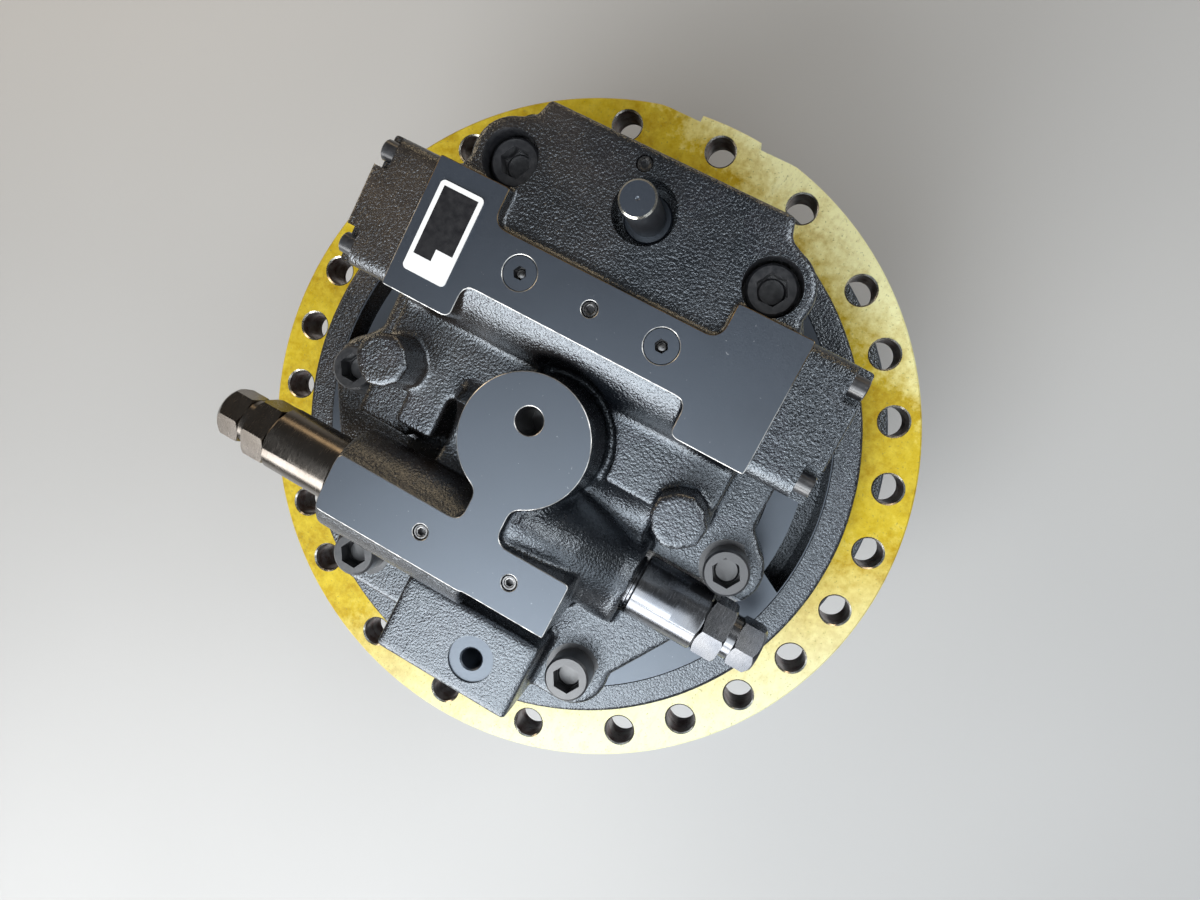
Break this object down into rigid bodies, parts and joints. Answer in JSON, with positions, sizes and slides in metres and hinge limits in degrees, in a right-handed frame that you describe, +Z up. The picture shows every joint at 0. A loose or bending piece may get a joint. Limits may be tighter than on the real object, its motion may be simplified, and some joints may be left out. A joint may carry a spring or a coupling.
{
  "type": "excavator final drive",
  "caption": "Excavator travel final drive: planetary gearbox in a rotating hub, bolted frame ring and a hydraulic motor end with relief valves and spool block.",
  "frame": {"origin": "centre of the gear cover's flat outer face, on which the drive stands", "axes": "+Z up the output axis from the gear cover to the motor end; +X along the counterbalance spool; +Y towards the face with the two main ports"},
  "size_m": [0.5, 0.5, 0.4766],
  "materials": {
    "ring": "machined, under a clear yellow rust-proofing coat",
    "cast": "black paint over casting",
    "steel": "ground steel",
    "dark": "black oxide",
    "bronze": "bearing bronze",
    "plate": "pale plate"
  },
  "bodies": {
    "motor_side": {"motor_case": "ring", "rear_flange": "cast", "nameplate": "plate", "spool_cover_left": "cast", "spool_cover_right": "cast", "relief_valve_left": "dark", "relief_valve_right": "dark", "relief_adjuster_left": "dark", "relief_adjuster_right": "dark", "flange_bolt_1": "dark", "flange_bolt_2": "dark", "flange_bolt_3": "dark", "flange_bolt_4": "dark", "flange_bolt_5": "dark", "flange_bolt_6": "dark", "gauge_plug_left": "dark", "gauge_plug_right": "dark", "blanking_pin": "dark", "carrier_2": "steel", "bearing_inner_race_1": "steel", "bearing_inner_race_2": "steel", "seal_ring_frame": "dark", "valve_plate": "bronze", "separator_plate": "steel", "brake_spring": "dark", "shaft_bearing_front": "steel", "shaft_bearing_rear": "steel", "centring_spring_left": "dark", "centring_spring_right": "dark"},
    "hub": {"hub_housing": "cast", "ring_gear": "cast", "gear_cover": "cast", "oil_plug_1": "dark", "oil_plug_2": "dark", "bearing_outer_race_1": "steel", "bearing_outer_race_2": "steel", "seal_ring_hub": "dark"},
    "input_shaft": {"drive_shaft": "steel", "cylinder_block": "steel", "piston_set": "bronze", "sun_gear_1": "steel", "friction_disc_1": "bronze", "friction_disc_2": "bronze"},
    "first_carrier": {"carrier_1": "steel", "sun_gear_2": "steel"},
    "rollers_1": {"roller_cage_1": "steel"},
    "rollers_2": {"roller_cage_2": "steel"},
    "brake_plunger": {"brake_piston": "steel"},
    "swash": {"swash_plate": "steel"},
    "tilt_plunger": {"tilt_piston": "steel"},
    "spool": {"counterbalance_spool": "steel"},
    "planet_1_1": {"planet_gear_1_1": "steel"},
    "planet_1_2": {"planet_gear_1_2": "steel"},
    "planet_1_3": {"planet_gear_1_3": "steel"},
    "planet_2_1": {"planet_gear_2_1": "steel"},
    "planet_2_2": {"planet_gear_2_2": "steel"},
    "planet_2_3": {"planet_gear_2_3": "steel"}
  },
  "joints": [
    {"name": "hub_spin", "type": "hinge", "parent": "motor_side", "child": "hub", "pos_m": [0, 0, 0.2], "axis": [0, 0, 1], "continuous": true},
    {"name": "input_spin", "type": "hinge", "parent": "motor_side", "child": "input_shaft", "pos_m": [0, 0, 0.2], "axis": [0, 0, 1], "continuous": true},
    {"name": "carrier_1_spin", "type": "hinge", "parent": "motor_side", "child": "first_carrier", "pos_m": [0, 0, 0.08], "axis": [0, 0, 1], "continuous": true},
    {"name": "planet_1_1_spin", "type": "hinge", "parent": "first_carrier", "child": "planet_1_1", "pos_m": [0.108, 0, 0.054], "axis": [0, 0, 1], "continuous": true},
    {"name": "planet_2_1_spin", "type": "hinge", "parent": "motor_side", "child": "planet_2_1", "pos_m": [0.108, 0, 0.116], "axis": [0, 0, 1], "continuous": true},
    {"name": "planet_1_2_spin", "type": "hinge", "parent": "first_carrier", "child": "planet_1_2", "pos_m": [-0.054, 0.09353, 0.054], "axis": [0, 0, 1], "continuous": true},
    {"name": "planet_2_2_spin", "type": "hinge", "parent": "motor_side", "child": "planet_2_2", "pos_m": [-0.054, 0.09353, 0.116], "axis": [0, 0, 1], "continuous": true},
    {"name": "planet_1_3_spin", "type": "hinge", "parent": "first_carrier", "child": "planet_1_3", "pos_m": [-0.054, -0.09353, 0.054], "axis": [0, 0, 1], "continuous": true},
    {"name": "planet_2_3_spin", "type": "hinge", "parent": "motor_side", "child": "planet_2_3", "pos_m": [-0.054, -0.09353, 0.116], "axis": [0, 0, 1], "continuous": true},
    {"name": "roller_cage_1_spin", "type": "hinge", "parent": "motor_side", "child": "rollers_1", "pos_m": [0, 0, 0.1763], "axis": [0, 0, 1], "continuous": true},
    {"name": "roller_cage_2_spin", "type": "hinge", "parent": "motor_side", "child": "rollers_2", "pos_m": [0, 0, 0.2383], "axis": [0, 0, 1], "continuous": true},
    {"name": "brake_release", "type": "slide", "parent": "motor_side", "child": "brake_plunger", "axis": [0, 0, 1], "range_m": [0, 0.0015], "stiffness_N_per_m": 20000, "springref_m": -0.003, "deforming": ["brake_spring"]},
    {"name": "swash_tilt", "type": "hinge", "parent": "motor_side", "child": "swash", "pos_m": [0, 0, 0.22831], "axis": [1, 0, 0], "range_deg": [-6, 0], "stiffness_Nm_per_rad": 4, "springref_deg": 20.05},
    {"name": "tilt_push", "type": "slide", "parent": "motor_side", "child": "tilt_plunger", "axis": [0, 0, 1], "range_m": [0, 0.0074]},
    {"name": "spool_slide", "type": "slide", "parent": "motor_side", "child": "spool", "axis": [1, 0, 0], "range_m": [-0.007, 0.007], "stiffness_N_per_m": 6000, "deforming": ["centring_spring_left", "centring_spring_right"]}
  ],
  "couplings": [
    {"joint": "input_spin", "follows": "hub_spin", "ratio": -35},
    {"joint": "carrier_1_spin", "follows": "hub_spin", "ratio": -5},
    {"joint": "planet_1_1_spin", "follows": "hub_spin", "ratio": 15},
    {"joint": "planet_2_1_spin", "follows": "hub_spin", "ratio": 2.5},
    {"joint": "planet_1_2_spin", "follows": "hub_spin", "ratio": 15},
    {"joint": "planet_2_2_spin", "follows": "hub_spin", "ratio": 2.5},
    {"joint": "planet_1_3_spin", "follows": "hub_spin", "ratio": 15},
    {"joint": "planet_2_3_spin", "follows": "hub_spin", "ratio": 2.5},
    {"joint": "roller_cage_1_spin", "follows": "hub_spin", "ratio": 0.53791},
    {"joint": "roller_cage_2_spin", "follows": "hub_spin", "ratio": 0.53791},
    {"joint": "tilt_push", "follows": "swash_tilt", "m_per_rad": -0.0695}
  ]
}
